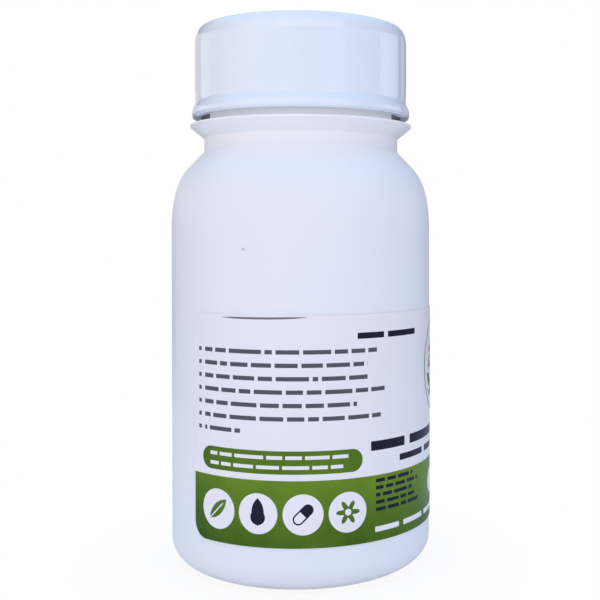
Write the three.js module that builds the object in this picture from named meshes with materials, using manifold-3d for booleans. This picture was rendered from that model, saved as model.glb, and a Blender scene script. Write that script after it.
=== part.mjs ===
// A white plastic capsule bottle: a blow-moulded bottle with a threaded neck, a double-walled screw cap
// with a foam liner, the tamper ring that the cap leaves on the neck, and a wrapped label.
//
// Millimetres, +Z up. Every round piece is turned about the Z axis. The origin is the centre of the
// base, on the surface that the bottle stands on. The middle of the label faces +X, and the bare strip
// between its two ends faces -X. The thread is right-handed: the cap turns anticlockwise, seen from
// above, as it opens.

import * as THREE from "three";
import { mergeVertices } from "three/addons/utils/BufferGeometryUtils.js";
import Module from "manifold-3d";

const point = (radius, height) => new THREE.Vector2(radius, height);

// Driving dimensions.
const SEGMENTS = 60; // facets round every turned piece, so that concentric walls keep their clearance
const CLEARANCE = 0.3; // between pieces that touch or turn on each other

const BODY_RADIUS = 27.95;
const WALL = 1.3;
const BASE_CORNER = { radius: 6.0, height: 5.3 };
const STANDING_RING_INNER = 19.6;
const PUSH_UP = [point(18.3, 0.92), point(14, 1.8), point(0, 2.2)]; // the raised middle of the base
const SHOULDER_START = 70.9; // where the straight side ends
const SHOULDER_END = { radius: 23.9, height: 84.65 }; // where its dome meets the straight cone
const SHOULDER_SLOPE = 45.5; // degrees of that cone, from the horizontal
const SHOULDER_PULL = { start: 8, end: 3.2 }; // how far the dome follows the side, and the cone
const WAIST_RADIUS = 21.0;
const WAIST_HOLLOW = { lower: 0.9, upper: 0.5 }; // radii of the two hollows beside the waist
const FLANGE_RADIUS = 24.0;
const FLANGE_TOP = 93.45;
const FLANGE_EDGE = { lower: 0.6, upper: 0.25, lowerCentre: 92.95 }; // its two rounded corners
const FLANGE_SLOPE = 39; // degrees of its underside, from the horizontal

const NECK_RADIUS = 17.45; // at the root of the thread
const BORE_RADIUS = 15.6;
const NECK_CORNER = 0.4; // chamfers at its foot and inside its mouth
const MOUTH_HEIGHT = 110.9;
const MOUTH_CORNER = 0.5;
const BORE_FOOT = { height: 93.3, flare: 0.5, drop: 0.6 }; // where the bore opens into the waist
const WAIST_INSIDE = { top: 89.2, bottom: 87.4 };
const BASE_THICKENING = 0.4; // blown walls are thicker where the base turns up
const BEAD = { radius: 18.65, bottom: 98.0, top: 99.3, edge: 0.5 }; // holds the tamper ring down

const PITCH = 4.2;
const THREAD_DEPTH = 1.15;
const NECK_THREAD = { start: 103.2, turns: 1.5, rootWidth: 2.2, crestWidth: 1.2 };
const CAP_THREAD = { turnsAhead: 0.17, turns: 1.1, rootWidth: 1.6, crestWidth: 0.8 };
const THREAD_TAPER = 24; // degrees over which each end of a thread fades out
const THREAD_SINK = 0.35; // how deep a thread's foot is buried in its wall
const THREAD_END_WIDTH = 0.4; // share of its width that each end of a thread narrows to

const CAP_RADIUS = 23.05;
const CAP_TOP = 114.1;
const CAP_FOOT = 94.95;
const CAP_CORNER = { radius: 1.6, height: 3.5 };
const CAP_PLATE = 1.6; // thickness of its top
const CAP_DRAFT = 0.2; // the outer wall's bore narrows by this much up to the ceiling
const CAP_BORE = 21.5; // inside the outer wall, at its foot
const CAP_BORE_CHAMFER = 0.3;
const CAP_FOOT_EDGE = { radius: 23.35, rise: 0.45, width: 0.17 }; // its outer corner
const CAP_BEAD = { radius: 23.6, height: 96.3, top: 98.4 }; // the swelling round the foot
const CAP_WALL_FOOT = { radius: 22.97, straightFrom: 102.4 }; // the wall narrows above the bead
const SKIRT_ROOT = NECK_RADIUS + THREAD_DEPTH + CLEARANCE; // inside the threaded skirt
const SKIRT_WALL = 1.2;
const SKIRT_FOOT = 99.85;
const SKIRT_CHAMFER = { across: 0.3, up: 0.4 };

const LINER = { radius: 18.5, thickness: 1.0 };

const RING = { outer: 19.75, inner: 18.95, top: 99.3 };
const RING_LIP = { radius: 17.95, bottom: 96.8, edge: 0.3, foot: 0.6, top: BEAD.bottom - CLEARANCE };
const NIBS = { count: 12, width: 1.0, height: 0.25, sunk: 0.2 }; // what is left of the cap's bridges

const LABEL_BOTTOM = 9.63;
const LABEL_TOP = 54.4;
const LABEL_SWEEP = 272; // degrees
const LABEL_THICKNESS = 0.12;
const LABEL_GAP = 0.05; // the film of glue
const LABEL_CORNER = 3.3;

// Finishes.
const BOTTLE_PLASTIC = { color: 0xe6e9f2, roughness: 0.42, metalness: 0 };
const CAP_PLASTIC = { color: 0xe8ecf6, roughness: 0.25, metalness: 0 };
const RING_PLASTIC = { color: 0xdfe2e8, roughness: 0.4, metalness: 0 };
const LINER_FOAM = { color: 0xf2f2ee, roughness: 0.8, metalness: 0 };
const LABEL_PAPER = { color: 0xeeeff5, roughness: 0.35, metalness: 0 };

const wasm = await Module();
wasm.setup();

const radians = THREE.MathUtils.degToRad;

// Points on a round corner of a profile, from one angle to another in degrees. 0 points outwards and
// 90 points up. The corner may be taller than it is wide.
function corner(radius, height, across, up, from, to, steps) {
  return Array.from({ length: steps + 1 }, (_, i) => {
    const angle = radians(from + ((to - from) * i) / steps);
    return point(radius + across * Math.cos(angle), height + up * Math.sin(angle));
  });
}

// A turned solid. Its profile runs from the axis to the axis, or round a closed loop, with the outside
// on its right as it climbs.
function turned(profile) {
  return new THREE.LatheGeometry(profile, SEGMENTS).rotateX(Math.PI / 2);
}

// A geometry as a manifold-3d solid, without the slivers that a turned pole leaves.
function solid(geometry) {
  const bare = geometry.clone().deleteAttribute("normal").deleteAttribute("uv");
  const merged = mergeVertices(bare, 1e-4);
  const corners = merged.index.array;
  const triVerts = [];
  for (let i = 0; i < corners.length; i += 3) {
    const [a, b, c] = corners.subarray(i, i + 3);
    if (a !== b && b !== c && c !== a) triVerts.push(a, b, c);
  }
  return new wasm.Manifold(
    new wasm.Mesh({
      numProp: 3,
      vertProperties: merged.attributes.position.array,
      triVerts: new Uint32Array(triVerts),
    }),
  );
}

function geometry(manifold) {
  const { vertProperties, triVerts } = manifold.getMesh();
  const made = new THREE.BufferGeometry();
  made.setAttribute("position", new THREE.BufferAttribute(vertProperties, 3));
  made.setIndex(new THREE.BufferAttribute(triVerts, 1));
  return made;
}

// A thread's ridge, which climbs one pitch a turn. Its section is extruded straight, one step for each
// facet, and each section is then carried round the axis. `root` and `crest` are radii, and the crest
// lies inside the root on a cap.
function ridge({ root, crest, start, turns, rootWidth, crestWidth, from }) {
  const foot = root - Math.sign(crest - root) * THREAD_SINK;
  const section = new THREE.Shape([
    point(foot, -rootWidth / 2),
    point(crest, -crestWidth / 2),
    point(crest, crestWidth / 2),
    point(foot, rootWidth / 2),
  ]);
  const steps = Math.round(turns * SEGMENTS);
  const straight = new THREE.ExtrudeGeometry(section, { depth: steps, steps, bevelEnabled: false });
  const place = straight.getAttribute("position");
  const taperSteps = (THREAD_TAPER / 360) * SEGMENTS;
  for (let i = 0; i < place.count; i++) {
    const step = steps - place.getZ(i); // the straight bar is bent towards its start
    const rise = Math.min(1, (Math.min(step, steps - step) + 0.5) / taperSteps);
    const radius = foot + (place.getX(i) - foot) * rise;
    const angle = radians(from) + (step / SEGMENTS) * 2 * Math.PI;
    const width = THREE.MathUtils.lerp(THREAD_END_WIDTH, 1, rise);
    const height = start + (step / SEGMENTS) * PITCH + place.getY(i) * width;
    place.setXYZ(i, radius * Math.sin(angle), -radius * Math.cos(angle), height);
  }
  return straight;
}

// The domed shoulder, drawn from the straight side up to where its cone begins. `inset` moves it
// inwards, for the inside of the wall.
function shoulder(inset, steps) {
  const slope = radians(SHOULDER_SLOPE);
  const along = point(-Math.cos(slope), Math.sin(slope));
  const side = BODY_RADIUS - inset;
  const end = point(
    SHOULDER_END.radius - inset * Math.sin(slope),
    SHOULDER_END.height - inset * Math.cos(slope),
  );
  const curve = new THREE.CubicBezierCurve(
    point(side, SHOULDER_START),
    point(side, SHOULDER_START + SHOULDER_PULL.start),
    end.clone().addScaledVector(along, -SHOULDER_PULL.end),
    end,
  );
  return curve.getPoints(steps);
}

function bottleOutside() {
  const cone = radians(SHOULDER_SLOPE);
  const underside = radians(FLANGE_SLOPE);
  // The hollow between the shoulder's cone and the waist.
  const { lower: hollow, upper: throat } = WAIST_HOLLOW;
  const hollowHeight =
    SHOULDER_END.height +
    (hollow - (WAIST_RADIUS + hollow - SHOULDER_END.radius) * Math.sin(cone)) / Math.cos(cone);
  // The flange's rim, and the hollow between its underside and the waist.
  const rim = point(FLANGE_RADIUS - FLANGE_EDGE.lower, FLANGE_EDGE.lowerCentre);
  const rimFoot = point(
    rim.x + FLANGE_EDGE.lower * Math.sin(underside),
    rim.y - FLANGE_EDGE.lower * Math.cos(underside),
  );
  const throatHeight =
    rimFoot.y -
    (throat - (WAIST_RADIUS + throat - rimFoot.x) * Math.sin(underside)) / Math.cos(underside);
  const { lower, upper } = FLANGE_EDGE;
  const base = BASE_CORNER;
  const mouth = MOUTH_CORNER;
  return [
    ...[...PUSH_UP].reverse(),
    point(STANDING_RING_INNER, 0),
    ...corner(BODY_RADIUS - base.radius, base.height, base.radius, base.height, -90, 0, 6),
    ...shoulder(0, 9),
    ...corner(WAIST_RADIUS + hollow, hollowHeight, hollow, hollow, 270 - SHOULDER_SLOPE, 180, 3),
    ...corner(WAIST_RADIUS + throat, throatHeight, throat, throat, 180, 90 + FLANGE_SLOPE, 2),
    ...corner(rim.x, rim.y, lower, lower, FLANGE_SLOPE - 90, 0, 3),
    ...corner(FLANGE_RADIUS - upper, FLANGE_TOP - upper, upper, upper, 0, 90, 2),
    point(NECK_RADIUS + NECK_CORNER, FLANGE_TOP),
    point(NECK_RADIUS, FLANGE_TOP + NECK_CORNER),
    point(NECK_RADIUS, BEAD.bottom),
    point(BEAD.radius, BEAD.bottom),
    point(BEAD.radius, BEAD.bottom + BEAD.edge),
    point(NECK_RADIUS, BEAD.top),
    ...corner(NECK_RADIUS - mouth, MOUTH_HEIGHT - mouth, mouth, mouth, 0, 90, 2),
  ];
}

function bottleInside() {
  const base = BASE_CORNER;
  const centre = base.height + BASE_THICKENING;
  return [
    point(BORE_RADIUS + NECK_CORNER, MOUTH_HEIGHT),
    point(BORE_RADIUS, MOUTH_HEIGHT - NECK_CORNER),
    point(BORE_RADIUS, BORE_FOOT.height),
    point(BORE_RADIUS + BORE_FOOT.flare, BORE_FOOT.height - BORE_FOOT.drop),
    point(WAIST_RADIUS - WALL, WAIST_INSIDE.top),
    point(WAIST_RADIUS - WALL, WAIST_INSIDE.bottom),
    ...shoulder(WALL, 7).reverse(),
    ...corner(BODY_RADIUS - base.radius, centre, base.radius - WALL, centre - WALL, 0, -90, 4),
    point(STANDING_RING_INNER, WALL),
    ...PUSH_UP.map((outside) => point(outside.x, outside.y + WALL)),
  ];
}

function bottle() {
  const walls = solid(turned([...bottleOutside(), ...bottleInside()]));
  const thread = ridge({
    ...NECK_THREAD,
    root: NECK_RADIUS,
    crest: NECK_RADIUS + THREAD_DEPTH,
    from: 0,
  });
  return geometry(walls.add(solid(thread)));
}

function cap() {
  const ceiling = CAP_TOP - CAP_PLATE;
  const skirtOutside = SKIRT_ROOT + SKIRT_WALL;
  const foot = CAP_FOOT_EDGE;
  const { radius: across, height: up } = CAP_CORNER;
  const wall = CAP_WALL_FOOT;
  const pull = (CAP_BEAD.top - CAP_BEAD.height) * 0.4;
  const swell = new THREE.CubicBezierCurve(
    point(CAP_BEAD.radius, CAP_BEAD.height),
    point(CAP_BEAD.radius, CAP_BEAD.height + pull),
    point(wall.radius, CAP_BEAD.top - pull),
    point(wall.radius, CAP_BEAD.top),
  );
  const walls = solid(
    turned([
      point(0, ceiling),
      point(SKIRT_ROOT, ceiling),
      point(SKIRT_ROOT, SKIRT_FOOT + SKIRT_CHAMFER.up),
      point(SKIRT_ROOT + SKIRT_CHAMFER.across, SKIRT_FOOT),
      point(skirtOutside, SKIRT_FOOT),
      point(skirtOutside, ceiling),
      point(CAP_BORE - CAP_DRAFT, ceiling),
      point(CAP_BORE, CAP_FOOT + CAP_BORE_CHAMFER),
      point(CAP_BORE + CAP_BORE_CHAMFER, CAP_FOOT),
      point(foot.radius, CAP_FOOT),
      point(foot.radius + foot.width, CAP_FOOT + foot.rise),
      ...swell.getPoints(5),
      point(CAP_RADIUS, wall.straightFrom),
      ...corner(CAP_RADIUS - across, CAP_TOP - up, across, up, 0, 90, 6),
      point(0, CAP_TOP),
    ]),
  );
  // Shut, the cap's thread lies under the neck's, a clearance below it.
  const neck = NECK_THREAD;
  const below = (neck.rootWidth + neck.crestWidth + CAP_THREAD.rootWidth + CAP_THREAD.crestWidth) / 4;
  const thread = ridge({
    ...CAP_THREAD,
    root: SKIRT_ROOT,
    crest: SKIRT_ROOT - THREAD_DEPTH,
    start: neck.start + CAP_THREAD.turnsAhead * PITCH - below - CLEARANCE,
    from: CAP_THREAD.turnsAhead * 360,
  });
  return geometry(walls.add(solid(thread)));
}

function tamperRing() {
  const band = turned([
    point(RING.outer, FLANGE_TOP + CLEARANCE),
    point(RING.outer, RING.top),
    point(RING.inner, RING.top),
    point(RING.inner, RING_LIP.top),
    point(RING_LIP.radius, RING_LIP.top),
    point(RING_LIP.radius, RING_LIP.bottom + RING_LIP.edge),
    point(RING.inner, RING_LIP.bottom - RING_LIP.foot),
    point(RING.inner, FLANGE_TOP + CLEARANCE),
    point(RING.outer, FLANGE_TOP + CLEARANCE),
  ]);
  const thickness = (RING.outer - RING.inner) * 0.75;
  const nib = new THREE.BoxGeometry(NIBS.width, thickness, NIBS.height + NIBS.sunk);
  nib.translate(0, (RING.outer + RING.inner) / 2, RING.top + (NIBS.height - NIBS.sunk) / 2);
  let ring = solid(band);
  for (let i = 0; i < NIBS.count; i++) {
    const turn = ((i + 0.5) / NIBS.count) * 2 * Math.PI;
    ring = ring.add(solid(nib.clone().rotateZ(turn)));
  }
  return geometry(ring);
}

function liner() {
  const bottom = CAP_TOP - CAP_PLATE - CLEARANCE - LINER.thickness;
  return turned([
    point(0, bottom),
    point(LINER.radius, bottom),
    point(LINER.radius, bottom + LINER.thickness),
    point(0, bottom + LINER.thickness),
  ]);
}

// The label is a flat strip with round corners that is bent round the body. A column of the strip's box
// stands over each facet of the body, with closer columns across the corners.
function label() {
  const inner = BODY_RADIUS + LABEL_GAP;
  const degreesPerMm = 360 / (2 * Math.PI * inner);
  const cornerColumns = [0, 0.12, 0.45, 1.0, 1.8, LABEL_CORNER];
  const fromEnd = cornerColumns.map((across) => across * degreesPerMm);
  const facet = 360 / SEGMENTS;
  const middle = [];
  const first = facet + ((LABEL_SWEEP / 2) % facet);
  for (let angle = first; angle <= LABEL_SWEEP - first; angle += facet) middle.push(angle);
  const columns = [
    ...fromEnd,
    ...middle,
    ...fromEnd.map((angle) => LABEL_SWEEP - angle).reverse(),
  ];
  const height = LABEL_TOP - LABEL_BOTTOM;
  const strip = new THREE.BoxGeometry(columns.length - 1, height, 1, columns.length - 1, 1, 1);
  const place = strip.getAttribute("position");
  for (let i = 0; i < place.count; i++) {
    const angle = columns[Math.round(place.getX(i) + (columns.length - 1) / 2)];
    const across = Math.min(angle, LABEL_SWEEP - angle) / degreesPerMm;
    const short = Math.max(0, LABEL_CORNER - across);
    const cut = LABEL_CORNER - Math.sqrt(LABEL_CORNER ** 2 - short ** 2);
    const z = (LABEL_TOP + LABEL_BOTTOM) / 2 + Math.sign(place.getY(i)) * (height / 2 - cut);
    const radius = inner + (place.getZ(i) > 0 ? LABEL_THICKNESS : 0);
    const turn = radians(angle - LABEL_SWEEP / 2);
    place.setXYZ(i, radius * Math.cos(turn), radius * Math.sin(turn), z);
  }
  return strip;
}

function piece(name, shape, finish) {
  const mesh = new THREE.Mesh(shape, new THREE.MeshStandardMaterial(finish));
  mesh.name = name;
  return mesh;
}

const closure = new THREE.Group();
closure.add(piece("cap", cap(), CAP_PLASTIC));
closure.add(piece("liner", liner(), LINER_FOAM));

const container = new THREE.Group();
container.add(piece("bottle", bottle(), BOTTLE_PLASTIC));
container.add(piece("tamper_ring", tamperRing(), RING_PLASTIC));
container.add(piece("label", label(), LABEL_PAPER));

const supplementBottle = new THREE.Group();
supplementBottle.add(container, closure);

export default supplementBottle;
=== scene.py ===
import math

import bpy
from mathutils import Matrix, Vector
from mathutils.geometry import interpolate_bezier


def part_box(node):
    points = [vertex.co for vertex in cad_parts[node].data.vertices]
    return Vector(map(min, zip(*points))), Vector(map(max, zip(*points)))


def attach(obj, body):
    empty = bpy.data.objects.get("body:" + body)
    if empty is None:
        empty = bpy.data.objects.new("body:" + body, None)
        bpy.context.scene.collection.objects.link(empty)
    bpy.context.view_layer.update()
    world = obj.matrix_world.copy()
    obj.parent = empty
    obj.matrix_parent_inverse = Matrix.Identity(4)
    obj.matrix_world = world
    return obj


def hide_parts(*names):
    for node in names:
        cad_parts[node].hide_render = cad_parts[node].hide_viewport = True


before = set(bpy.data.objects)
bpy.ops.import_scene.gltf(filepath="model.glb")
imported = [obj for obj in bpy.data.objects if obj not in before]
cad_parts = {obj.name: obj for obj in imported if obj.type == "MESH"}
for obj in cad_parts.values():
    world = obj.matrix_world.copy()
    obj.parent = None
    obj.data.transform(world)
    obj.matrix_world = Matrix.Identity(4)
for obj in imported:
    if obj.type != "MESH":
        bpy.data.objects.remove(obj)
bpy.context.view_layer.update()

# -------------------------------------------------------------------------------------------------
# Camera. It stands in front of the bottle, level with its shoulder and a little to the right, and
# looks straight ahead, so the lens is shifted to bring the bottle into the middle of the picture.

mm = 0.001

bpy.ops.object.select_all(action="DESELECT")
bpy.ops.object.camera_add(
    location=(10.87 * mm, -217.61 * mm, 70.1 * mm), rotation=(math.radians(89.217), 0, 0)
)
camera = bpy.context.object
camera.data.sensor_width = 36
camera.data.lens = 59.546
camera.data.shift_x = -0.0847
camera.data.shift_y = -0.0883
camera.data.clip_start = 10 * mm
bpy.context.scene.camera = camera

# -------------------------------------------------------------------------------------------------
# Bottle. Blow-moulded white HDPE, thicker at the neck and the base. Its outline runs from the
# middle of the pushed-up base, up the outside to the mouth, and down the inside of the wall. The
# neck has a flange under the cap, a bead that holds the tamper ring, and a coarse thread.


def arc(radius, height, reach, start, end, steps, rise=None):
    """Points on a round corner of an outline, from the place of its middle and its own radius. 0
    degrees points outwards and 90 points up. An oval corner has another reach upwards, `rise`."""
    rise = reach if rise is None else rise
    angles = [math.radians(start + (end - start) * i / steps) for i in range(steps + 1)]
    return [(radius + reach * math.cos(a), height + rise * math.sin(a)) for a in angles]


def curve(start, leaving, arriving, end, steps):
    """Points on a smooth stretch of an outline, with the two handles that bend it."""
    knots = [Vector((radius, height, 0)) for radius, height in (start, leaving, arriving, end)]
    return [(p.x, p.y) for p in interpolate_bezier(*knots, steps)]


def turned(name, outline, steps=192):
    """A turned piece: one vertex is extruded along its outline, in millimetres, and the outline is
    spun about the upright axis."""
    places = [Vector((radius, 0, height)) * mm for radius, height in outline]
    bpy.ops.object.select_all(action="DESELECT")
    bpy.ops.mesh.primitive_plane_add(size=mm)
    piece = bpy.context.object
    piece.name = piece.data.name = name
    bpy.ops.object.mode_set(mode="EDIT")
    bpy.ops.mesh.merge(type="CENTER")
    bpy.ops.transform.translate(value=places[0])
    for here, there in zip(places, places[1:]):
        bpy.ops.mesh.extrude_vertices_move(TRANSFORM_OT_translate={"value": there - here})
    bpy.ops.mesh.select_all(action="SELECT")
    bpy.ops.mesh.spin(steps=steps, angle=math.tau, center=(0, 0, 0), axis=(0, 0, 1))
    bpy.ops.mesh.select_all(action="SELECT")
    bpy.ops.mesh.remove_doubles(threshold=0.002 * mm)
    bpy.ops.mesh.normals_make_consistent(inside=False)
    bpy.ops.object.mode_set(mode="OBJECT")
    return piece


def thread(root, crest, start, turns, from_turn, root_width, crest_width):
    """The ridge of a screw thread, in millimetres, which sinks into its wall and fades out at both
    ends. It is screwed up from a section that stands `from_turn` of a turn from the front."""
    steps_a_turn, sink = 96, 0.35
    fade, end_rise, end_width = 24 / 360, 0.003, 0.4  # two in turns, and a share of the width
    foot = root - math.copysign(sink, crest - root)
    section = [
        (foot, -root_width / 2), (crest, -crest_width / 2),
        (crest, crest_width / 2), (foot, root_width / 2),
    ]
    bpy.ops.object.select_all(action="DESELECT")
    bpy.ops.mesh.primitive_circle_add(vertices=len(section), radius=mm)
    ridge = bpy.context.object
    for corner, (radius, height) in zip(ridge.data.vertices, section):
        corner.co = Vector((radius, 0, height)) * mm
    screw = ridge.modifiers.new("screw", "SCREW")
    screw.axis = "Z"
    screw.angle = turns * math.tau
    screw.screw_offset = turns * THREAD_PITCH * mm
    screw.steps = screw.render_steps = round(turns * steps_a_turn)
    bpy.ops.object.modifier_apply(modifier=screw.name)
    for corner in ridge.data.vertices:
        angle = math.atan2(corner.co.y, corner.co.x) / math.tau
        climbed = corner.co.z / mm / THREAD_PITCH
        along = angle + round(climbed - angle)
        rise = min(1, (min(along, turns - along) + end_rise) / fade)
        width = end_width + (1 - end_width) * rise
        radius = foot + (Vector(corner.co[:2]).length / mm - foot) * rise
        height = start + along * THREAD_PITCH + (climbed - along) * THREAD_PITCH * width
        turn = (along + from_turn) * math.tau
        corner.co = Vector((radius * math.sin(turn), -radius * math.cos(turn), height)) * mm
    bpy.ops.object.mode_set(mode="EDIT")
    bpy.ops.mesh.select_all(action="SELECT")
    bpy.ops.mesh.fill_holes(sides=len(section))
    bpy.ops.mesh.select_all(action="SELECT")
    bpy.ops.mesh.normals_make_consistent(inside=False)
    bpy.ops.object.mode_set(mode="OBJECT")
    return ridge


def fused(piece, detail):
    """Fuses a detail into the wall that it grows from."""
    union = piece.modifiers.new("union", "BOOLEAN")
    union.operation, union.solver, union.object = "UNION", "EXACT", detail
    bpy.ops.object.select_all(action="DESELECT")
    bpy.context.view_layer.objects.active = piece
    bpy.ops.object.modifier_apply(modifier=union.name)
    bpy.data.objects.remove(detail)


def smoothed(piece, angle=32):
    """Shades a piece smooth, apart from its sharp corners."""
    bpy.ops.object.select_all(action="DESELECT")
    piece.select_set(True)
    bpy.context.view_layer.objects.active = piece
    bpy.ops.object.shade_smooth_by_angle(angle=math.radians(angle))


THREAD_PITCH, THREAD_START, THREAD_DEPTH = 4.2, 103.2, 1.15
NECK_RIDGE_ROOT, NECK_RIDGE_CREST = 2.2, 1.2
body_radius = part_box("bottle")[1].x / mm
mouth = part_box("bottle")[1].z / mm
wall_thickness = 1.3
neck_radius, bore_radius = 17.45, 15.6
bead_foot, ring_bead = 98.0, 18.65
flange_radius, flange_top = 24.0, 93.45
heel_radius, heel_height = 21.95, 5.3  # the middle of the round corner at the foot
side_top, side_pull = 70.9, 78.9  # where the straight side ends, and the handle that bends it in

# The shoulder runs into a cone, and the waist is hollowed between that cone and the flange's
# underside, with a round corner of its own radius against each.
waist, lower_hollow, upper_hollow = 21.0, 0.9, 0.5
cone_slope, underside_slope = 45.5, 39  # degrees
cone, underside = math.radians(cone_slope), math.radians(underside_slope)
cone_handle = 3.2
shoulder_end, inner_shoulder_end = (23.9, 84.65), (22.97, 83.74)
cone_pull = (cone_handle * math.cos(cone), -cone_handle * math.sin(cone))
hollow_height = shoulder_end[1] + (
    lower_hollow - (waist + lower_hollow - shoulder_end[0]) * math.sin(cone)
) / math.cos(cone)
rim, rim_height = 0.3, flange_top - 0.3
rim_foot = (
    flange_radius - rim + rim * math.sin(underside), rim_height - rim * math.cos(underside)
)
throat_height = rim_foot[1] - (
    upper_hollow - (waist + upper_hollow - rim_foot[0]) * math.sin(underside)
) / math.cos(underside)

outside = [(0, 2.2), (8, 2.12), (14, 1.8), (18.3, 0.92), (19.3, 0.12), (19.8, 0)]
outside += arc(heel_radius, heel_height, body_radius - heel_radius, -90, 0, 26, rise=heel_height)
outside += curve(
    (body_radius, side_top), (body_radius, side_pull),
    (shoulder_end[0] + cone_pull[0], shoulder_end[1] + cone_pull[1]), shoulder_end, 34,
)
outside += arc(waist + lower_hollow, hollow_height, lower_hollow, 270 - cone_slope, 180, 8)
outside += arc(waist + upper_hollow, throat_height, upper_hollow, 180, 90 + underside_slope, 6)
outside += arc(flange_radius - rim, rim_height, rim, underside_slope - 90, 0, 8)
outside += arc(flange_radius - 0.25, flange_top - 0.25, 0.25, 0, 90, 6)
outside += arc(neck_radius + 0.4, flange_top + 0.4, 0.4, 270, 180, 5)
outside += [
    (neck_radius, bead_foot), (ring_bead - 0.15, bead_foot), (ring_bead, bead_foot + 0.12),
    (ring_bead, bead_foot + 0.5), (neck_radius, bead_foot + 1.3),
]
outside += arc(neck_radius - 0.5, mouth - 0.5, 0.5, 0, 90, 6)
inside = arc(bore_radius + 0.4, mouth - 0.4, 0.4, 90, 180, 4)
inside += [(bore_radius, 93.3), (16.1, 92.7), (19.7, 89.2), (19.7, 87.4)]
inside += reversed(curve(
    (body_radius - wall_thickness, side_top), (body_radius - wall_thickness, side_pull),
    (inner_shoulder_end[0] + cone_pull[0], inner_shoulder_end[1] + cone_pull[1]),
    inner_shoulder_end, 18,
))
inside += arc(heel_radius, heel_height + 0.4, 4.7, 0, -90, 10, rise=4.4)
inside += [(19.6, 1.3), (18, 2.22), (13.7, 3.1), (0, 3.5)]

bottle = turned("bottle_body", outside + inside)
fused(bottle, thread(
    root=neck_radius, crest=neck_radius + THREAD_DEPTH, start=THREAD_START, turns=1.5, from_turn=0,
    root_width=NECK_RIDGE_ROOT, crest_width=NECK_RIDGE_CREST,
))

# The mould's pinch-off leaves a short weld line under the base, in line with its two halves.
weld_size, weld_height = (22, 0.7, 0.8), 2.1
bpy.ops.object.select_all(action="DESELECT")
bpy.ops.mesh.primitive_cube_add(size=mm, location=(0, 0, weld_height * mm))
weld = bpy.context.object
bpy.ops.object.mode_set(mode="EDIT")
bpy.ops.transform.resize(value=weld_size)
bpy.ops.mesh.bevel(offset=0.3 * mm, segments=3)
bpy.ops.object.mode_set(mode="OBJECT")
bpy.ops.object.transform_apply(location=True, rotation=False, scale=False)
fused(bottle, weld)
smoothed(bottle)


class Wire:
    """A shader socket. Sums with it add Math nodes, and node() adds a node of any other kind."""

    def __init__(self, tree, socket=None):
        self.tree, self.socket = tree, socket

    def node(self, kind, settings=None, inputs=None, output=0):
        made = self.tree.nodes.new("ShaderNode" + kind)
        for name, value in (settings or {}).items():
            if name == "stops":
                while len(made.color_ramp.elements) < len(value):
                    made.color_ramp.elements.new(1)
                for stop, (place, colour) in zip(made.color_ramp.elements, value):
                    stop.position, stop.color = place, (*colour, 1)
            else:
                setattr(made, name, value)
        for name, value in (inputs or {}).items():
            if isinstance(value, Wire):
                self.tree.links.new(value.socket, made.inputs[name])
            else:
                made.inputs[name].default_value = value
        return Wire(self.tree, made.outputs[output])

    def math(self, operation, *terms):
        return self.node("Math", {"operation": operation}, dict(enumerate(terms)))

    def __add__(self, other):
        return self.math("ADD", self, other)

    def __sub__(self, other):
        return self.math("SUBTRACT", self, other)

    def __rsub__(self, other):
        return self.math("SUBTRACT", other, self)

    def __mul__(self, other):
        return self.math("MULTIPLY", self, other)

    def __truediv__(self, other):
        return self.math("DIVIDE", self, other)

    def __rtruediv__(self, other):
        return self.math("DIVIDE", other, self)

    def __lt__(self, other):
        return self.math("LESS_THAN", self, other)

    def __gt__(self, other):
        return self.math("GREATER_THAN", self, other)

    def __abs__(self):
        return self.math("ABSOLUTE", self)

    __radd__, __rmul__ = __add__, __mul__


def finish(name, roughness, **uniform):
    """A new material, its shader and the place of each point on the piece. Numbers that are the
    same all over are set on the shader's own sockets."""
    material = bpy.data.materials.new(name)
    material.use_nodes = True
    shader = material.node_tree.nodes["Principled BSDF"]
    shader.inputs["Roughness"].default_value = roughness
    for socket, value in uniform.items():
        shader.inputs[socket.replace("_", " ")].default_value = value
    nodes = Wire(material.node_tree)
    place = nodes.node("TexCoord", output=3)
    return material, shader, nodes, place


def grain(nodes, place, size, detail=2.0):
    """Cloudy noise whose lumps are about `size` millimetres across."""
    inputs = {"Vector": place, "Scale": 1 / (size * mm), "Detail": detail}
    return nodes.node("TexNoise", inputs=inputs)


def blend(nodes, share, low, high):
    """One colour, or the other where `share` is 1."""
    return nodes.node("Mix", {"data_type": "RGBA"}, {0: share, 6: low, 7: high}, output=2)


def plug(nodes, shader, **wires):
    """Links what varies over a piece to the sockets of its shader."""
    for socket, wire in wires.items():
        nodes.tree.links.new(wire.socket, shader.inputs[socket.replace("_", " ")])


bottle_plastic, shader, nodes, place = finish(
    "bottle_plastic", 0.4, Specular_IOR_Level=0.35,
    Subsurface_Weight=0.3, Subsurface_Radius=(1, 1, 1), Subsurface_Scale=1.5 * mm,
)
cloud = grain(nodes, place, 24)
mottle = grain(nodes, place, 3)
white = blend(nodes, cloud, (0.85, 0.865, 0.945, 1), (0.88, 0.893, 0.965, 1))

# The waist and the flange above it, up to just under the flange's top, are painted whiter: painted
# light standing in for light that falls on them from below and in front.
flange_light_from, flange_light_full, flange_light_end = 88.5 * mm, 91.5 * mm, (flange_top - 0.1) * mm
height = nodes.node("SeparateXYZ", inputs={"Vector": place}, output="Z")
painted_flange_light = nodes.node("MapRange", inputs={
    "Value": height, "From Min": flange_light_from, "From Max": flange_light_full
}) * (height < flange_light_end)
white = blend(nodes, painted_flange_light, white, (0.965, 0.955, 0.98, 1))

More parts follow.
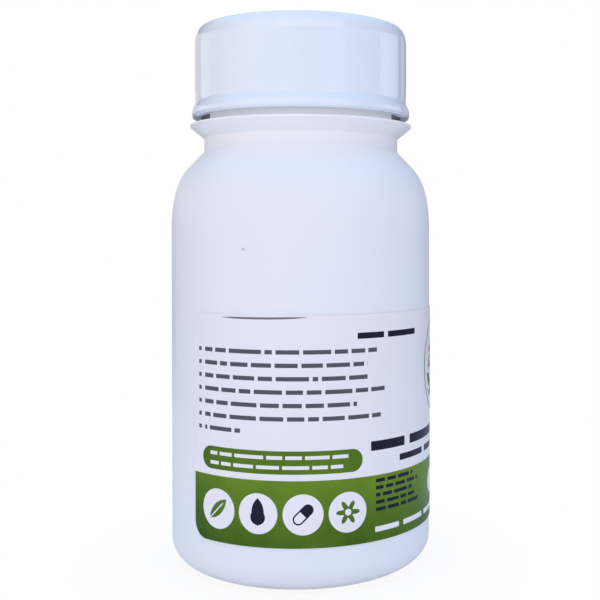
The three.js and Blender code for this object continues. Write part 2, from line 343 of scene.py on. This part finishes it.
# A grey speck on the side.
speck_place, speck_size = Vector((-9.93, -26.12, 67.05)) * mm, 0.45 * mm
from_speck = nodes.node(
    "VectorMath", {"operation": "DISTANCE"}, {0: place, 1: speck_place}, output="Value"
)
speck = 1 - from_speck / speck_size
speck = speck.math("MAXIMUM", speck, 0)
plug(nodes, shader, Base_Color=blend(nodes, speck, white, (0.42, 0.44, 0.52, 1)))
plug(nodes, shader, Roughness=0.34 + mottle * 0.1 + cloud * 0.04)

# The two halves of the mould leave a fine line up each side, and its sandblasted wall a dull skin.
line_width = 0.12 * mm
from_line = abs(nodes.node("SeparateXYZ", inputs={"Vector": place}, output="Y")) / line_width
parting = 1 - from_line.math("MINIMUM", from_line, 1)
skin = grain(nodes, place, 0.35, 3)
relief = skin * 0.004 + mottle * 0.012 + cloud * 0.12 + parting * 0.05
plug(nodes, shader, Normal=nodes.node("Bump", inputs={"Height": relief, "Distance": mm}))

bottle.data.materials.clear()
bottle.data.materials.append(bottle_plastic)
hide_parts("bottle")
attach(bottle, "bottle")

# -------------------------------------------------------------------------------------------------
# Tamper ring. The band that tore off the cap and stays on the neck, caught under the bead by the
# lip inside it. The stubs of its thin bridges stand round its top edge. It glows faintly: painted
# light, which stands in for light soaking through the thin plastic.

ring_outer, ring_inner, ring_lip = 19.75, 18.95, 17.95
ring_foot, ring_top = flange_top + 0.3, 99.3
lip_foot, lip_top = 97.1, 97.7
ring_outline = [(ring_inner, ring_foot + 0.1), (ring_inner + 0.1, ring_foot)]
ring_outline += arc(ring_outer - 0.2, ring_foot + 0.2, 0.2, -90, 0, 4)
ring_outline += arc(ring_outer - 0.15, ring_top - 0.15, 0.15, 0, 90, 4)
ring_outline += [(ring_inner, ring_top), (ring_inner, lip_top), (ring_lip, lip_top)]
ring_outline += [(ring_lip, lip_foot), (ring_inner, 96.2), (ring_inner, ring_foot + 0.1)]
tamper_ring = turned("tamper_ring_band", ring_outline)

stub_count, stub_size = 12, (1.0, 0.6, 0.45)
middle, stub_height = (ring_outer + ring_inner) / 2 * mm, (ring_top + 0.025) * mm
for stub in range(stub_count):
    turn = (stub + 0.5) / stub_count * math.tau
    bpy.ops.object.select_all(action="DESELECT")
    bpy.ops.mesh.primitive_cube_add(
        size=mm,
        location=(-middle * math.sin(turn), middle * math.cos(turn), stub_height),
        rotation=(0, 0, turn),
    )
    bpy.context.object.scale = stub_size
    bpy.ops.object.transform_apply()
    bpy.ops.object.mode_set(mode="EDIT")
    bpy.ops.mesh.bevel(offset=0.08 * mm, segments=2)
    bpy.ops.object.mode_set(mode="OBJECT")
    fused(tamper_ring, bpy.context.object)
smoothed(tamper_ring)

# The emission is painted light: a faint glow in place of light that soaks through the plastic.
ring_plastic, shader, nodes, place = finish(
    "ring_plastic", 0.35, Emission_Color=(0.86, 0.93, 1.0, 1), Emission_Strength=0.31
)
mottle = grain(nodes, place, 2)
plug(nodes, shader, Base_Color=blend(nodes, mottle, (0.64, 0.66, 0.72, 1), (0.68, 0.70, 0.76, 1)))
plug(nodes, shader, Roughness=0.3 + mottle * 0.12)
relief = grain(nodes, place, 0.3, 3) * 0.006 + mottle * 0.02
plug(nodes, shader, Normal=nodes.node("Bump", inputs={"Height": relief, "Distance": mm}))
tamper_ring.data.materials.clear()
tamper_ring.data.materials.append(ring_plastic)
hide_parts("tamper_ring")
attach(tamper_ring, "bottle")

# -------------------------------------------------------------------------------------------------
# Label. A glossy printed film, wrapped round the body from one rounded end to the other, with bare
# plastic between them. It is cut flat, its print is laid out on the flat film in millimetres, and
# it is then bent round the bottle.

label_low, label_high = (corner.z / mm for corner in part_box("label"))
label_inner = body_radius + 0.05
label_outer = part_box("label")[1].x / mm
label_sweep = 272  # degrees
label_length = math.radians(label_sweep) * label_outer
label_height = label_high - label_low
label_corner = 3.3
column = 1.5  # width of one facet of the bent film
print_rise = 0.3  # how far up the film the whole print is set

bpy.ops.object.select_all(action="DESELECT")
bpy.ops.mesh.primitive_plane_add(size=1)
label = bpy.context.object
label.name = label.data.name = "label_film"
bpy.ops.object.mode_set(mode="EDIT")
bpy.ops.transform.resize(value=(label_length, label_height, 1))
bpy.ops.transform.translate(value=(label_length / 2, label_height / 2, 0))
bpy.ops.mesh.bevel(offset=label_corner, segments=10, affect="VERTICES")
cut = column
while cut < label_length:
    bpy.ops.mesh.select_all(action="SELECT")
    bpy.ops.mesh.bisect(plane_co=(cut, 0, 0), plane_no=(1, 0, 0))
    cut += column
bpy.ops.object.mode_set(mode="OBJECT")
flat_map = label.data.uv_layers.new(name="flat")
for corner in label.data.loops:
    across, up, _ = label.data.vertices[corner.vertex_index].co
    flat_map.data[corner.index].uv = (across / label_length, up / label_length)
for corner in label.data.vertices:
    across, up, _ = corner.co
    turn = math.radians(label_sweep * (across / label_length - 0.5))
    corner.co = Vector((
        label_outer * math.cos(turn), label_outer * math.sin(turn), label_low + up
    )) * mm
film = label.modifiers.new("film", "SOLIDIFY")
film.thickness, film.offset = (label_outer - label_inner) * mm, -1
bpy.ops.object.modifier_apply(modifier=film.name)
smoothed(label)

label_film, shader, nodes, place = finish("label_film", 0.3, Specular_IOR_Level=0.14)
flat = nodes.node("UVMap", {"uv_map": "flat"})
across = nodes.node("SeparateXYZ", inputs={"Vector": flat}, output="X") * label_length
up = nodes.node("SeparateXYZ", inputs={"Vector": flat}, output="Y") * label_length - print_rise
here = nodes.node("CombineXYZ", inputs={"X": across, "Y": up})


def within(wire, low, high):
    """1 where the wire lies between two values."""
    return nodes.node(
        "Math", {"operation": "COMPARE"}, {0: wire, 1: (low + high) / 2, 2: (high - low) / 2}
    )


def either(*masks):
    """1 where any of the masks is 1."""
    found = masks[0]
    for mask in masks[1:]:
        found = found.math("MAXIMUM", found, mask)
    return found


def patch(left, right, low, high):
    """1 inside an upright rectangle on the flat film."""
    return within(across, left, right) * within(up, low, high)


def disc(x, y, radius):
    """1 inside a circle on the flat film."""
    away = nodes.node("VectorMath", {"operation": "DISTANCE"}, {0: here, 1: (x, y, 0)}, "Value")
    return away < radius


def pill(x, y, length, tall):
    """1 inside a bar with round ends."""
    beyond = abs(across - x) - (length - tall) / 2
    beyond = beyond.math("MAXIMUM", beyond, 0)
    rise = up - y
    return beyond * beyond + rise * rise < (tall / 2) ** 2


def leaf(x, y, half_length, half_width, lean):
    """1 inside a pointed leaf, which leans by so many degrees from the level."""
    reach = (half_length ** 2 - half_width ** 2) / (2 * half_width)
    side = math.radians(lean + 90)
    shift = Vector((math.cos(side), math.sin(side))) * reach
    round_edge = reach + half_width
    return disc(x + shift.x, y + shift.y, round_edge) * disc(x - shift.x, y - shift.y, round_edge)


def stroke(x1, y1, x2, y2, width):
    """1 along a straight line."""
    line = Vector((x2 - x1, y2 - y1))
    way = line.normalized()
    along = (across - x1) * way.x + (up - y1) * way.y
    over = (up - y1) * way.x - (across - x1) * way.y
    return within(along, 0, line.length) * within(over, -width / 2, width / 2)


def chance(x, y):
    """A fixed random number from 0 to 1 for each whole pair of numbers."""
    pair = nodes.node("CombineXYZ", inputs={"X": x, "Y": y})
    return nodes.node("TexWhiteNoise", {"noise_dimensions": "2D"}, {"Vector": pair})


def rows(left, right, high, count, pitch, tall, word, seed, ragged=0.0, last=1.0):
    """Rows of solid bars about as long as a word, which stand for small print. Each row ends at
    its own length, and the last one at a share of it."""
    down = (high - up) / pitch
    row = down.math("FLOOR", down)
    over = (down - row - 0.5) * pitch
    cell = (across - left) / word
    whole = cell.math("FLOOR", cell)
    space_middle = chance(whole + (0.5 + seed), row + 0.5) * 0.65 + 0.2
    half_space = 0.42 * tall / word
    space = abs(cell - whole - space_middle) < half_space
    reach = right
    if ragged:
        reach = chance(row + (7.5 + seed), 3.5) * (ragged * (left - right)) + right
    if last < 1:
        reach = reach - (row > count - 1.5) * ((1 - last) * (right - left))
    shown = within(over, -tall / 2, tall / 2) * (1 - space)
    return shown * (across > left) * (across < reach) * within(row, -0.5, count - 0.5)


def words(up_middle, tall, *spans):
    """A row of bars in bold, each from one place to another along the film."""
    return either(*(within(across, *span) for span in spans)) * within(
        up, up_middle - tall / 2, up_middle + tall / 2
    )


# The left panel: a list, the heading beside it, and a bar that carries two rows in white.
list_top, list_pitch, list_rows = 38.69, 2.57, 7
small_print = rows(
    3.1, 41.6, list_top, list_rows, list_pitch, 0.84, word=4.7, seed=11, ragged=0.17, last=0.28
)
list_down = (list_top - up) / list_pitch
list_over = (list_down - list_down.math("FLOOR", list_down) - 0.5) * list_pitch
bullets = within(across, 1.3, 2.1) * within(list_over, -0.4, 0.4) * within(list_down, 0, list_rows)
heading = words(40.3, 1.2, (35.2, 41.4), (42.4, 51.2))
strip_middle, strip_row, strip_length, strip_tall = 19.4, 16.17, 33.8, 4.48
strip = pill(strip_middle, strip_row, strip_length, strip_tall)
strip_print = rows(4.6, 34.2, strip_row + 1.9, 2, 1.9, 0.7, word=4.4, seed=17, ragged=0.1)

# The front panel, round the middle of the film: a sprig of berries in a ring, over the title.
front = label_length / 2
title = words(18.5, 1.9, (38.2, 47.4), (49.2, 65.6), (67.4, 79.2), (81.0, 95.3))
subtitle = words(15.3, 1.3, (45.8, 54.8), (56.2, 62.4), (63.8, 76.0), (77.4, 87.7))
emblem_row, emblem_radius, emblem_line = 32.2, 10.4, 0.45
emblem = disc(front, emblem_row, emblem_radius)
ring = emblem * (1 - disc(front, emblem_row, emblem_radius - emblem_line))
berry_pitch, berry_size = 1.85, 0.43
umbel_radius = 6.9
berry_inputs = {"Vector": here, "Scale": 1 / berry_pitch, "Randomness": 0.45}
berry_away = nodes.node("TexVoronoi", {"voronoi_dimensions": "2D"}, berry_inputs)
berry_middle = nodes.node("TexVoronoi", {"voronoi_dimensions": "2D"}, berry_inputs, "Position")
umbel = (front, emblem_row + 0.4, 0)
spread = nodes.node(
    "VectorMath", {"operation": "DISTANCE"}, {0: berry_middle, 1: umbel}, "Value"
)
berry_height = nodes.node("SeparateXYZ", inputs={"Vector": berry_middle}, output="Y")
in_umbel = (spread < umbel_radius) * (berry_height > umbel[1] - 0.6)
berries = (berry_away < berry_size) * in_umbel
glint_shift, glint_radius = (-0.28, 0.3, 0), 0.24
glint_place = nodes.node(
    "VectorMath", {"operation": "ADD"}, {0: berry_middle, 1: glint_shift}, "Vector"
)
glints = nodes.node(
    "VectorMath", {"operation": "DISTANCE"}, {0: here, 1: glint_place}, "Value"
) < glint_radius
stalk_foot, stalk_fork = emblem_row - 9.0, emblem_row - 4.6
stems = either(
    stroke(front, stalk_foot, front, stalk_fork + 5.5, 0.42),
    *(stroke(front, stalk_fork, front + x, emblem_row + y, 0.3)
      for x, y in ((-5.6, 1.2), (-3.0, 3.2), (3.0, 3.2), (5.6, 1.2))),
)
leaves = either(*(
    leaf(front + side * x, emblem_row + y, 3.0, 1.05, side * lean)
    for side in (-1, 1) for x, y, lean in ((3.4, -6.2, 12), (5.6, -3.4, 38))
))
tablet_row, tablet_length, tablet_tall, tablet_edge = 7.4, 15.0, 5.2, 1.2
tablet = pill(front, tablet_row, tablet_length, tablet_tall)
tablet_half = (across > front) * pill(
    front, tablet_row, tablet_length - tablet_edge, tablet_tall - tablet_edge
)
contents = words(
    2.0, 1.05, (39.2, 45.6), (47.0, 54.6), (56.0, 67.0), (78.0, 85.2), (86.6, 94.3)
)

# The right panel: a ruled table of amounts, and rows of directions under it.
table_left, table_right, table_low, table_top = 100.5, 129.0, 15.6, 42.4
table_head, table_pitch, table_count, table_print = 37.1, 2.3, 9, 0.7
frame_width, table_margin, rule_share = 0.3, 1.2, 0.05
frame_line = patch(table_left, table_right, table_low, table_top)
frame_line = frame_line - patch(
    table_left + frame_width, table_right - frame_width,
    table_low + frame_width, table_top - frame_width,
)
table_title = words(39.9, 1.6, (101.7, 111.6), (113.2, 121.4))
thick_rule = patch(table_left, table_right, table_head, 37.8)
in_table = within(across, table_left, table_right) * within(up, table_low, table_head)
table_down = (table_head - up) / table_pitch
rules = within(table_down - table_down.math("FLOOR", table_down), 0, rule_share) * in_table
table_rows = rows(
    table_left + table_margin, 119, table_head, table_count, table_pitch, table_print,
    word=4.6, seed=67, ragged=0.45,
)
amounts = rows(
    122.5, table_right - table_margin, table_head, table_count, table_pitch, table_print,
    word=3.1, seed=71,
)
directions = rows(101.0, 129.2, 11.0, 4, 2.1, 0.66, word=4.4, seed=73, ragged=0.2, last=0.5)

# The band round the foot of the film, with four discs that hold a leaf, a drop, a capsule and a
# flower, and rows of small print beside them.
band_top = 12.7
band = up < band_top
address = rows(39.4, 53.6, 12.3, 5, 1.42, 0.72, word=3.6, seed=5, ragged=0.3)
badge_row, badge_radius, badges = 6.2, 3.95, (6.5, 15.4, 24.3, 33.2)
discs = either(*(disc(x, badge_row, badge_radius) for x in badges))
badge_leaf = leaf(badges[0], badge_row, 2.9, 1.1, 45) * (1 - stroke(
    badges[0] - 2, badge_row - 2, badges[0] + 1.2, badge_row + 1.2, 0.25
))
drop = either(
    disc(badges[1], badge_row - 0.7, 1.5), leaf(badges[1], badge_row + 0.3, 2.7, 1.25, 90)
)
capsule_reach, capsule_radius, capsule_hollow = 1.3, 1.1, 0.8
capsule_x, capsule_y = across - badges[2], up - badge_row
capsule_along = (capsule_x + capsule_y) * math.sqrt(0.5)
capsule_over = (capsule_y - capsule_x) * math.sqrt(0.5)
capsule_end = abs(capsule_along) - capsule_reach
capsule_end = capsule_end.math("MAXIMUM", capsule_end, 0)
capsule_away = capsule_end * capsule_end + capsule_over * capsule_over
capsule = (capsule_away < capsule_radius ** 2) * either(
    capsule_along > 0, capsule_away > capsule_hollow ** 2
)
petals, petal_length, petal_middle, flower_eye = 6, 0.7, 1.75, 0.65
petal_x, petal_y = across - badges[3], up - badge_row
petal_turn = petal_x.math("ARCTAN2", petal_y, petal_x) * petals
petal_edge = petal_turn.math("COSINE", petal_turn) * petal_length + petal_middle
petal_away = petal_x * petal_x + petal_y * petal_y
flower = (petal_away < petal_edge * petal_edge) * (petal_away > flower_eye ** 2)

# The inks. The green is clouded, and deeper towards the band's foot and the end of the film.
ink_grain = grain(nodes, place, 0.5, 3)
paper = blend(nodes, grain(nodes, place, 12), (0.855, 0.84, 0.887, 1), (0.885, 0.866, 0.915, 1))
film_end = nodes.node("MapRange", inputs={
    "Value": across, "From Min": 0, "From Max": 8, "To Min": 0.35, "To Max": 0
})
shade = grain(nodes, place, 8) * 0.7 + ink_grain * 0.3 + band * (up * 0.045 - 0.2) - film_end
green = blend(nodes, shade, (0.03, 0.088, 0.003, 1), (0.16, 0.268, 0.019, 1))
navy = (0.01, 0.011, 0.03, 1)
berry = (0.035, 0.012, 0.075, 1)
colour = blend(nodes, either(band, strip), paper, green)
white_print = either(discs, strip * strip_print, contents, directions, tablet)
colour = blend(nodes, white_print, colour, paper)
green_print = either(ring, stems, leaves, tablet_half, badge_leaf, flower)
colour = blend(nodes, green_print, colour, green)
thin_print = either(small_print, bullets, table_rows, amounts, rules, frame_line)
colour = blend(nodes, thin_print * 0.9, colour, navy)
bold_print = either(heading, title, subtitle, address, table_title, thick_rule, drop, capsule)
colour = blend(nodes, bold_print, colour, navy)
colour = blend(nodes, berries, colour, berry)
colour = blend(nodes, berries * glints, colour, paper)

# A crease near the upper edge: a dark line of painted shadow and a slight dent, tapering to both
# ends.
crease_place, crease_height, crease_tilt, crease_bend = 16.4, 43.87, 0.09, 0.13
crease_half_length, crease_half_width = 8.9, 0.2
crease_along = (across - crease_place) / crease_half_length
crease_width = (1 - crease_along.math("POWER", abs(crease_along), 4)) * crease_half_width
crease_middle = crease_along * (crease_along * crease_bend + crease_tilt) + crease_height
crease_and_shadow = abs(up - crease_middle) < crease_width
# The crease's dark line is painted shadow.
colour = blend(nodes, crease_and_shadow * 0.85, colour, (0.05, 0.05, 0.06, 1))
plug(nodes, shader, Base_Color=colour)
plug(nodes, shader, Roughness=0.3 + grain(nodes, place, 2.5) * 0.1)
ripple = grain(nodes, place, 16) * 0.06 + ink_grain * 0.003 - crease_and_shadow * 0.02
plug(nodes, shader, Normal=nodes.node("Bump", inputs={"Height": ripple, "Distance": mm}))

label.data.materials.clear()
label.data.materials.append(label_film)
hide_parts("label")
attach(label, "bottle")

# -------------------------------------------------------------------------------------------------
# Cap. Injection-moulded white polypropylene with a polished outside: a plain outer wall with a
# bead at its foot, and a threaded skirt inside it under the same top. The top dips a little inside
# its rim, and has the gate's mark in the middle.

cap_low, cap_high = (corner.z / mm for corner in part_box("cap"))
cap_radius, bead_radius = 22.95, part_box("cap")[1].x / mm
wall_inner, foot_edge, bead_height = 21.5, 0.2, 96.0
corner_width, corner_height = 1.6, 3.5
ceiling, skirt_inner, skirt_outer, skirt_foot = cap_high - 1.6, 18.9, 20.1, 99.85

cap_outline = [(0, ceiling), (skirt_inner, ceiling), (skirt_inner, skirt_foot + 0.4)]
cap_outline += [(skirt_inner + 0.3, skirt_foot), (skirt_outer, skirt_foot), (skirt_outer, ceiling)]
cap_outline += [(21.3, ceiling), (wall_inner, cap_low + 0.3)]
cap_outline += arc(wall_inner + foot_edge, cap_low + foot_edge, foot_edge, 180, 270, 4)
cap_outline += arc(23.3, cap_low + 0.15, 0.15, -90, -15, 4)
cap_outline += curve(
    (23.5, cap_low + 0.35), (23.6, 95.3), (bead_radius, 95.5), (bead_radius, bead_height), 8
)
cap_outline += curve(
    (bead_radius, bead_height), (bead_radius, 97.1), (22.87, 97.6), (22.87, 98.4), 14
)[1:]
cap_outline += [(22.9, 100.4), (cap_radius, 102.4), (cap_radius, 106.5)]
cap_outline += arc(
    cap_radius - corner_width, cap_high - corner_height, corner_width, 0, 90, 24,
    rise=corner_height,
)
cap_outline += [(20.8, cap_high - 0.02), (20.2, cap_high - 0.18), (19.6, cap_high - 0.22)]
cap_outline += [(10, cap_high - 0.26), (1.7, cap_high - 0.28), (1.5, cap_high - 0.42)]
cap_outline += [(0.55, cap_high - 0.45), (0.5, cap_high - 0.3), (0, cap_high - 0.28)]
cap = turned("cap_shell", cap_outline)

# The cap's ridge starts a little further round than the neck's, and runs just below it.
ridge_root, ridge_crest, ridge_turn, ridge_clearance = 1.6, 0.8, 0.17, 0.3
both_ridges = NECK_RIDGE_ROOT + NECK_RIDGE_CREST + ridge_root + ridge_crest
drop_below = both_ridges / 4 + ridge_clearance
fused(cap, thread(
    root=skirt_inner, crest=skirt_inner - THREAD_DEPTH,
    start=THREAD_START + ridge_turn * THREAD_PITCH - drop_below, turns=1.1, from_turn=ridge_turn,
    root_width=ridge_root, crest_width=ridge_crest,
))
smoothed(cap)

cap_plastic, shader, nodes, place = finish(
    "cap_plastic", 0.05, Specular_IOR_Level=0.9,
    Subsurface_Weight=0.3, Subsurface_Radius=(1, 1, 1), Subsurface_Scale=1.5 * mm,
)
cloud = grain(nodes, place, 18)
handled = grain(nodes, place, 5, 4)
white = blend(nodes, cloud, (0.775, 0.835, 0.96, 1), (0.805, 0.855, 0.97, 1))

# Painted shade: the inside of the outer wall, above its foot, is painted dark where the slot
# between the cap and the flange lies in shade.
slot_shade_full, slot_shade_end = (cap_low + 1.6) * mm, (cap_low + 3.2) * mm
level_place = nodes.node(
    "VectorMath", {"operation": "MULTIPLY"}, {0: place, 1: (1, 1, 0)}, "Vector"
)
from_axis = nodes.node("VectorMath", {"operation": "LENGTH"}, {0: level_place}, "Value")
painted_slot_shade = nodes.node("MapRange", inputs={
    "Value": nodes.node("SeparateXYZ", inputs={"Vector": place}, output="Z"),
    "From Min": slot_shade_full, "From Max": slot_shade_end, "To Min": 1, "To Max": 0,
}) * (from_axis < (wall_inner + foot_edge) * mm)
# The dark inner wall is painted shade.
plug(nodes, shader, Base_Color=blend(nodes, painted_slot_shade, white, (0.15, 0.15, 0.13, 1)))
plug(nodes, shader, Roughness=0.02 + handled * 0.05)
relief = cloud * 0.05 + handled * 0.008
plug(nodes, shader, Normal=nodes.node("Bump", inputs={"Height": relief, "Distance": mm}))
cap.data.materials.clear()
cap.data.materials.append(cap_plastic)
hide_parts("cap")
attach(cap, "cap")

# -------------------------------------------------------------------------------------------------
# Liner. A loose disc of foamed polyethylene in the top of the cap, with the ring that the mouth
# has pressed into it.

liner_low, liner_high = (corner.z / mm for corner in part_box("liner"))
liner_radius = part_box("liner")[1].x / mm
dent, edge = 0.12, 0.15
liner_outline = [(0, liner_low), (bore_radius - 0.4, liner_low), (bore_radius, liner_low + dent)]
liner_outline += [(neck_radius, liner_low + dent), (neck_radius + 0.4, liner_low)]
liner_outline += arc(liner_radius - edge, liner_low + edge, edge, -90, 0, 4)
liner_outline += arc(liner_radius - edge, liner_high - edge, edge, 0, 90, 4)
liner = turned("liner_disc", liner_outline + [(0, liner_high)], steps=96)
smoothed(liner)

liner_foam, shader, nodes, place = finish("liner_foam", 0.8)
cells = nodes.node("TexVoronoi", inputs={"Vector": place, "Scale": 1 / (0.35 * mm)})
tint = blend(nodes, cells, (0.88, 0.87, 0.83, 1), (0.80, 0.79, 0.75, 1))
plug(nodes, shader, Base_Color=tint)
plug(nodes, shader, Normal=nodes.node("Bump", inputs={"Height": cells * 0.08, "Distance": mm}))
liner.data.materials.clear()
liner.data.materials.append(liner_foam)
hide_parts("liner")
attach(liner, "liner")

# -------------------------------------------------------------------------------------------------
# Studio. A small pale floor inside a light tent. The tent is brightest in front and dims at the
# back and below the floor's level, and its ceiling is blue like a skylight. Past the bottle, all
# is white.

floor_radius, fade_from, fade_to = 240 * mm, 26 * mm, 50 * mm
bpy.ops.object.select_all(action="DESELECT")
bpy.ops.mesh.primitive_circle_add(vertices=96, radius=floor_radius, fill_type="NGON")
floor = bpy.context.object
floor.name = "floor"
floor_paint, shader, nodes, place = finish("floor_paint", 0.7)
shader.inputs["Base Color"].default_value = (0.9, 0.88, 0.87, 1)
away = nodes.node("VectorMath", {"operation": "LENGTH"}, {0: place}, output="Value")
seen = nodes.node("LightPath", output="Is Camera Ray")
fade = nodes.node("MapRange", inputs={
    "Value": away, "From Min": fade_from, "From Max": fade_to, "To Min": 0.9, "To Max": 1.0
})
clear = nodes.node("BsdfTransparent")
painted = Wire(nodes.tree, shader.outputs[0])
faded = nodes.node("MixShader", inputs={0: seen * fade, 1: painted, 2: clear})
surface = nodes.tree.nodes["Material Output"].inputs["Surface"]
nodes.tree.links.new(faded.socket, surface)
floor.data.materials.append(floor_paint)

# How bright the tent is, by the angle round from its front towards the bottle's right: its wall,
# and the belt level with the cap, which has a tall strip of light towards the back on each side.
left_tint, right_tint, ceiling_tint = (1.14, 1.05, 0.97), (1.05, 1.03, 1.14), (0.56, 0.78, 1.06)
wall_lights = (
    (-180, 0.12), (-150, 0.1), (-130, 0.15), (-110, 0.22), (-90, 0.42), (-72, 0.88), (-54, 1.2),
    (-36, 1.17), (-27, 1.02), (-22, 1.82), (-18, 1.74), (0, 1.35), (18, 1.28), (36, 1.46),
    (47, 1.5), (53, 0.62), (72, 0.5), (90, 0.37), (110, 0.22), (130, 0.15), (150, 0.12),
    (180, 0.12),
)
belt_lights = (
    (-180, 0.68), (-156, 0.68), (-148, 0.62), (-133, 0.55), (-132, 1.15), (-112, 1.15),
    (-109, 0.9), (-90, 0.95), (-72, 1.05), (-54, 1.15), (-36, 1.05), (-27, 0.85), (-22, 1.15),
    (-18, 1.1), (0, 0.8), (18, 0.75), (36, 1.1), (47, 1.2), (53, 0.9), (72, 0.85), (90, 0.8),
    (96, 0.8), (97, 1.45), (110, 1.3), (132, 0.62), (133, 0.0), (141, 0.0), (142, 0.48),
    (149, 0.42), (158, 0.3), (180, 0.3),
)
belt_low, belt_high = 0.06, 0.27  # upward shares of a direction
ceiling_from, ceiling_full, back_from = 0.4, 0.75, 0.7
dim_full, dim_share = -0.1, 0.36


def stops(lights):
    """The stops of a colour ramp round the tent, tinted from its left to its right."""
    colours = []
    for turn, light in lights:
        tint = Vector(left_tint).lerp(Vector(right_tint), min(max(0.5 + turn / 180, 0), 1))
        colours.append((0.5 + turn / 360, tint * light))
    return colours


world = bpy.data.worlds.new("studio")
bpy.context.scene.world = world
world.use_nodes = True
nodes = Wire(world.node_tree)
toward = nodes.node("TexCoord")
east = nodes.node("SeparateXYZ", inputs={"Vector": toward}, output="X")
north = nodes.node("SeparateXYZ", inputs={"Vector": toward}, output="Y")
height = nodes.node("SeparateXYZ", inputs={"Vector": toward}, output="Z")
turn = east.math("ARCTAN2", east, north * -1) / math.tau + 0.5
wall = nodes.node("ValToRGB", {"stops": stops(wall_lights)}, {"Fac": turn})
belt = nodes.node("ValToRGB", {"stops": stops(belt_lights)}, {"Fac": turn})
wall = blend(nodes, (height > belt_low) * (height < belt_high), wall, belt)
below = nodes.node("MapRange", inputs={
    "Value": height, "From Min": 0, "From Max": dim_full, "To Min": 0, "To Max": dim_share
})
wall = blend(nodes, below, wall, (0, 0, 0, 1))

# The ceiling comes down lower at the back.
behind = north.math("MAXIMUM", north - back_from, 0)
overhead = nodes.node("MapRange", {"interpolation_type": "SMOOTHSTEP"}, {
    "Value": height + behind, "From Min": ceiling_from, "From Max": ceiling_full
})
tent = blend(nodes, overhead, wall, (*ceiling_tint, 1))
seen = nodes.node("LightPath", output="Is Camera Ray")
tent = blend(nodes, seen, tent, (1, 1, 1, 1))
background = world.node_tree.nodes["Background"]
world.node_tree.links.new(tent.socket, background.inputs["Color"])
bpy.context.scene.view_settings.view_transform = "Standard"
